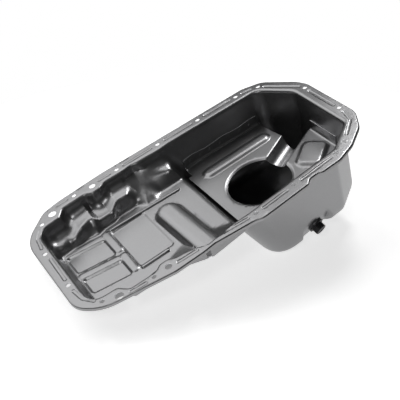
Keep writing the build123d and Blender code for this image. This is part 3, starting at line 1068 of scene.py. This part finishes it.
def thread_tree():
    """Node tree that winds a thread ridge of a pitch and length round a plug."""
    labels = ("Radius", "Pitch", "Length", "Ridge")
    inputs = {label: "NodeSocketFloat" for label in labels}
    tree = node_group("thread", {**inputs, "Material": "NodeSocketMaterial"})
    radius, pitch, length, ridge = (group_input(tree, label) for label in labels)
    helix = add_node(tree, "GeometryNodeCurveSpiral", None, {
        "Resolution": 40, "Rotations": length.math("DIVIDE", length, pitch),
        "Start Radius": radius, "End Radius": radius, "Height": length,
    })
    profile = add_node(
        tree, "GeometryNodeCurvePrimitiveCircle", {"mode": "RADIUS"}, {"Resolution": 4, "Radius": ridge}
    )
    wound = add_node(
        tree, "GeometryNodeCurveToMesh", None, {"Curve": helix, "Profile Curve": profile, "Fill Caps": True}
    )
    both = add_node(tree, "GeometryNodeJoinGeometry", None, {"Geometry": group_input(tree, "Geometry")})
    tree.links.new(wound.output, tree.nodes["Join Geometry"].inputs["Geometry"])
    close_group(tree, both)
    return tree


class MESH_OT_drain_parts(bpy.types.Operator):
    """Build the drain plug with its thread, and finish the washer and the weld nut"""

    bl_idname = "mesh.pan_drain"
    bl_label = "Drain parts"

    def execute(self, context):
        sizes = context.scene.drain_sizes
        sheet = context.scene.pan_sizes.sheet
        colours = context.scene.pan_colours
        black = dark_finish("black_plug_finish", colours.plug, metallic=0.4, roughness=0.34)
        start = make_plug_body(sizes, sheet)
        length = sheet + sizes.nut_height + THREAD_STAND
        winding = {
            "Radius": (sizes.thread_radius - THREAD_RIDGE) * MM, "Pitch": sizes.pitch * MM,
            "Length": length * MM, "Ridge": THREAD_RIDGE * MM,
        }
        for vertex in start.vertices:
            vertex.co.z += length * MM
        piece = grown("drain_bolt", thread_tree(), start, winding, black)
        piece.data.transform(drain_matrix() @ Matrix.Translation((0, 0, -length * MM)))
        register_piece(piece, "plug", "plug_steel", "drain_plug")
        dull = dark_finish("dull_washer", colours.washer, metallic=0.7, roughness=0.45)
        for name, finish in (("drain_washer", dull), ("drain_nut", pan_coat())):
            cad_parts[name].data.materials.clear()
            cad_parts[name].data.materials.append(finish)
        return {"FINISHED"}


def weld_tree():
    """Node tree that sets a flat round weld mark on each point, square to the point's own way."""
    tree = node_group("weld_marks", {
        "Mark radius": "NodeSocketFloat", "Mark height": "NodeSocketFloat", "Material": "NodeSocketMaterial",
    })
    radius, height = group_input(tree, "Mark radius"), group_input(tree, "Mark height")
    mark = add_node(tree, "GeometryNodeMeshCone", None, {
        "Vertices": 20, "Side Segments": 1, "Depth": height,
        "Radius Top": radius * WELD_MARK_TOP, "Radius Bottom": radius,
    })
    way = add_node(tree, "GeometryNodeInputNamedAttribute", {"data_type": "FLOAT_VECTOR"}, {"Name": "way"})
    turn = add_node(tree, "FunctionNodeAlignRotationToVector", {"axis": "Z"}, {"Vector": way})
    marks = add_node(tree, "GeometryNodeInstanceOnPoints", None, {
        "Points": group_input(tree, "Geometry"), "Instance": mark, "Rotation": turn,
    })
    close_group(tree, marks)
    return tree


class MESH_OT_weld_marks(bpy.types.Operator):
    """Set the spot weld marks along the baffle's weld flanges"""

    bl_idname = "mesh.pan_weld_marks"
    bl_label = "Weld marks"

    def execute(self, context):
        sizes = context.scene.baffle_sizes
        spots = []
        for start, end, count in WELD_ROWS:
            for share in np.linspace(0, 1, count):
                x, y = np.array(start) * (1 - share) + np.array(end) * share
                spots.append((x, y, sizes.flange_height * WELD_SHARE - sizes.depth))
        inset = sizes.wall_gap + sizes.sheet
        spots = settle(lambda points: sump_walls(points, inset), np.array(spots, dtype=float))
        mesh = bpy.data.meshes.new("weld_spots")
        mesh.from_pydata((spots * MM).tolist(), [], [])
        way = mesh.attributes.new("way", "FLOAT_VECTOR", "POINT")
        way.data.foreach_set("vector", outward(baffle_level, spots).ravel())
        marks = {"Mark radius": WELD_MARK_RADIUS * MM, "Mark height": WELD_MARK_HEIGHT * MM}
        piece = grown("weld_marks", weld_tree(), mesh, marks, pan_coat())
        register_piece(piece, "pan", "baffle_steel")
        return {"FINISHED"}


class MESH_OT_stage(bpy.types.Operator):
    """Build the pale floor under the resting pan, the soft lamps, the world and the camera"""

    bl_idname = "mesh.pan_stage"
    bl_label = "Studio"

    def execute(self, context):
        make_floor()
        make_lamps()
        make_world()
        make_camera()
        return {"FINISHED"}


def leaning_up(tilt):
    """Way up that leans towards the sump by a tilt."""
    return np.array([math.sin(tilt), 0, math.cos(tilt)])


def resting_plane():
    """Tilt and level of the plane that the pan would rest on, touching its tray and its sump."""
    meshes = [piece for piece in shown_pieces() if piece.type == "MESH"]
    points = np.array([piece.matrix_world @ vertex.co for piece in meshes for vertex in piece.data.vertices])
    tray = points[points[:, 0] < REST_TRAY_X]
    sump = points[points[:, 0] > REST_SUMP_X]
    low, high = 0.0, STEEPEST_REST
    for _ in range(30):
        tilt = (low + high) / 2
        up = leaning_up(tilt)
        if (tray @ up).min() > (sump @ up).min():
            low = tilt
        else:
            high = tilt
    return tilt, (points @ leaning_up(tilt)).min()


def make_floor():
    """Pale round floor, square to the way that the pan rests."""
    tilt, level = resting_plane()
    up = Vector(leaning_up(tilt))
    turn = Matrix.Rotation(tilt, 3, "Y")
    net = bmesh.new()
    bmesh.ops.create_circle(net, cap_ends=True, segments=96, radius=FLOOR_RADIUS)
    for vertex in net.verts:
        vertex.co = turn @ vertex.co + up * level
    floor = add_object("studio_floor", mesh_from(net, "studio_floor"))
    floor.data.materials.append(floor_material())
    floor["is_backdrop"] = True


def floor_material():
    """Matt pale floor that shows white to the camera, pale in mirrors, and keeps the shadow."""
    material, tree = new_material("pale_floor")
    colour = bpy.context.scene.pan_colours.floor
    seen = add_node(tree, "ShaderNodeLightPath", None, None, "Is Camera Ray")
    mirrored = add_node(tree, "ShaderNodeLightPath", None, None, "Is Glossy Ray")
    matt = add_node(tree, "ShaderNodeBsdfDiffuse", None, {"Color": (*colour, 1.0)})
    strength = seen * FLOOR_LIFT + mirrored * FLOOR_MIRRORED
    lift = add_node(tree, "ShaderNodeEmission", None, {"Strength": strength})
    finish_material(tree, add_node(tree, "ShaderNodeAddShader", None, {0: matt, 1: lift}))
    return material


def make_lamps():
    """Soft rectangular lamps, turned to the pan."""
    for index, (spot, width, power) in enumerate(LAMPS):
        lamp = bpy.data.lights.new(f"soft_lamp_{index}", "AREA")
        lamp.shape = "SQUARE"
        lamp.size = width
        lamp.energy = power
        holder = add_object(f"soft_lamp_{index}", lamp)
        holder.location = spot
        holder.rotation_mode = "QUATERNION"
        holder.rotation_quaternion = (Vector(spot) - Vector(LAMP_TARGET)).to_track_quat("Z", "Y")


def make_world():
    """Plain light from all round, white where the camera sees it."""
    world = bpy.data.worlds.new("studio")
    world.use_nodes = True
    tree = world.node_tree
    tree.nodes.clear()
    seen = add_node(tree, "ShaderNodeLightPath", None, None, "Is Camera Ray")
    strength = seen * (1 - WORLD_LIGHT) + WORLD_LIGHT
    back = add_node(tree, "ShaderNodeBackground", None, {"Color": (1, 1, 1, 1), "Strength": strength})
    add_node(tree, "ShaderNodeOutputWorld", None, {"Surface": back})
    bpy.context.scene.world = world


def make_camera():
    """Camera at the photograph's place and angle."""
    data = bpy.data.cameras.new("camera")
    data.lens = CAMERA_LENS
    data.sensor_width = CAMERA_SENSOR
    camera = add_object("camera", data)
    back = -Vector(CAMERA_AHEAD).normalized()
    right = Vector(CAMERA_RIGHT).normalized()
    up = back.cross(right)
    camera.matrix_world = Matrix.Translation(CAMERA_PLACE) @ Matrix((right, up, back)).transposed().to_4x4()
    bpy.context.scene.camera = camera
    bpy.context.scene.view_settings.view_transform = "Standard"


class VIEW3D_PT_oil_pan(bpy.types.Panel):
    """Sizes, colours and building steps of the oil pan"""

    bl_idname = "VIEW3D_PT_oil_pan"
    bl_label = "Oil pan"
    bl_space_type = "VIEW_3D"
    bl_region_type = "UI"
    bl_category = "Oil pan"

    def draw(self, context):
        for group in ("pan_sizes", "baffle_sizes", "drain_sizes", "pan_colours"):
            settings = getattr(context.scene, group)
            box = self.layout.box()
            for name in settings.__annotations__:
                box.prop(settings, name)
        for operator in OPERATORS:
            self.layout.operator(operator.bl_idname)


GROUPS = {
    "pan_sizes": PanSizes,
    "baffle_sizes": BaffleSizes,
    "drain_sizes": DrainSizes,
    "pan_colours": PanColours,
}
OPERATORS = [
    MESH_OT_pan_pressing, MESH_OT_baffle_plate, MESH_OT_drain_parts, MESH_OT_weld_marks, MESH_OT_stage,
]


def register():
    for name, group in GROUPS.items():
        bpy.utils.register_class(group)
        setattr(bpy.types.Scene, name, bpy.props.PointerProperty(type=group))
    for operator in OPERATORS:
        bpy.utils.register_class(operator)
    bpy.utils.register_class(VIEW3D_PT_oil_pan)


def unregister():
    bpy.utils.unregister_class(VIEW3D_PT_oil_pan)
    for operator in reversed(OPERATORS):
        bpy.utils.unregister_class(operator)
    for name, group in reversed(GROUPS.items()):
        delattr(bpy.types.Scene, name)
        bpy.utils.unregister_class(group)


def main():
    register()
    bpy.ops.mesh.pan_pressing()
    bpy.ops.mesh.pan_baffle()
    bpy.ops.mesh.pan_drain()
    bpy.ops.mesh.pan_weld_marks()
    bpy.ops.mesh.pan_stage()


if __name__ == "__main__":
    main()
